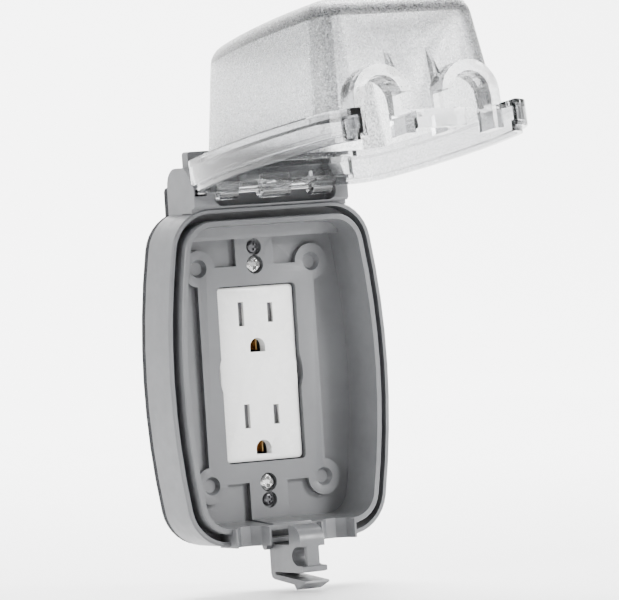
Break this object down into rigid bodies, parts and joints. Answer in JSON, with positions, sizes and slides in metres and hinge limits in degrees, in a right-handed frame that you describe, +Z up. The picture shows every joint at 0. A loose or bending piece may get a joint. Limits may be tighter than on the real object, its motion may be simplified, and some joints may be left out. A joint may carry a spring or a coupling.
{
  "type": "weatherproof receptacle cover",
  "caption": "Wall-mounted weatherproof cover with a deep clear hinged lid, cord exits and a padlock latch over a white tamper-resistant duplex receptacle.",
  "frame": {"origin": "the centre of the device box's opening, on the wall surface that the gasket's back meets", "axes": "+X to the right as seen from the front, +Y into the wall, +Z up; the front faces -Y"},
  "size_m": [0.0946, 0.1783, 0.2191],
  "materials": {
    "grey_plastic": "fine satin moulded polycarbonate",
    "clear_plastic": "clear polycarbonate, finely textured on the dome and polished at its flange",
    "black_foam": "closed-cell foam, matt",
    "white_plastic": "semi-gloss white thermoplastic",
    "shutter_plastic": "matt grey",
    "black_nylon": "matt black",
    "bright_steel": "zinc plated",
    "dark_steel": "dark, worn bright in the drive recess",
    "brass": "plain",
    "green_steel": "green dyed plating"
  },
  "bodies": {
    "base": {"base_housing": "grey_plastic", "wall_gasket": "black_foam", "hinge_pin": "bright_steel", "latch_pin": "bright_steel", "receptacle_face": "white_plastic", "receptacle_body": "black_nylon", "mounting_strap": "bright_steel", "upper_shutter_spring": "bright_steel", "lower_shutter_spring": "bright_steel", "hot_contact_bus": "brass", "neutral_contact_bus": "brass", "ground_bus": "brass", "upper_device_screw": "bright_steel", "lower_device_screw": "bright_steel", "upper_plate_screw": "dark_steel", "lower_plate_screw": "dark_steel", "hot_terminal_screw_upper": "brass", "hot_terminal_screw_lower": "brass", "neutral_terminal_screw_upper": "bright_steel", "neutral_terminal_screw_lower": "bright_steel", "ground_terminal_screw": "green_steel", "receptacle_rivet_upper": "bright_steel", "receptacle_rivet_lower": "bright_steel"},
    "cover": {"clear_cover": "clear_plastic"},
    "latch": {"latch_hasp": "grey_plastic"},
    "upper_shutter": {"upper_shutter": "shutter_plastic"},
    "lower_shutter": {"lower_shutter": "shutter_plastic"}
  },
  "joints": [
    {"name": "cover_hinge", "type": "hinge", "parent": "base", "child": "cover", "pos_m": [0, -0.0228, 0.0702], "axis": [-1, 0, 0], "range_deg": [-97.5, 20]},
    {"name": "latch_pivot", "type": "hinge", "parent": "base", "child": "latch", "pos_m": [0, -0.0165, -0.065], "axis": [1, 0, 0], "range_deg": [0, 25], "stiffness_Nm_per_rad": 0.06, "springref_deg": -5.73},
    {"name": "upper_shutter_slide", "type": "slide", "parent": "base", "child": "upper_shutter", "axis": [1, 0, 0], "range_m": [0, 0.0032], "stiffness_N_per_m": 150, "springref_m": -0.001, "deforming": ["upper_shutter_spring"]},
    {"name": "lower_shutter_slide", "type": "slide", "parent": "base", "child": "lower_shutter", "axis": [1, 0, 0], "range_m": [0, 0.0032], "stiffness_N_per_m": 150, "springref_m": -0.001, "deforming": ["lower_shutter_spring"]}
  ]
}
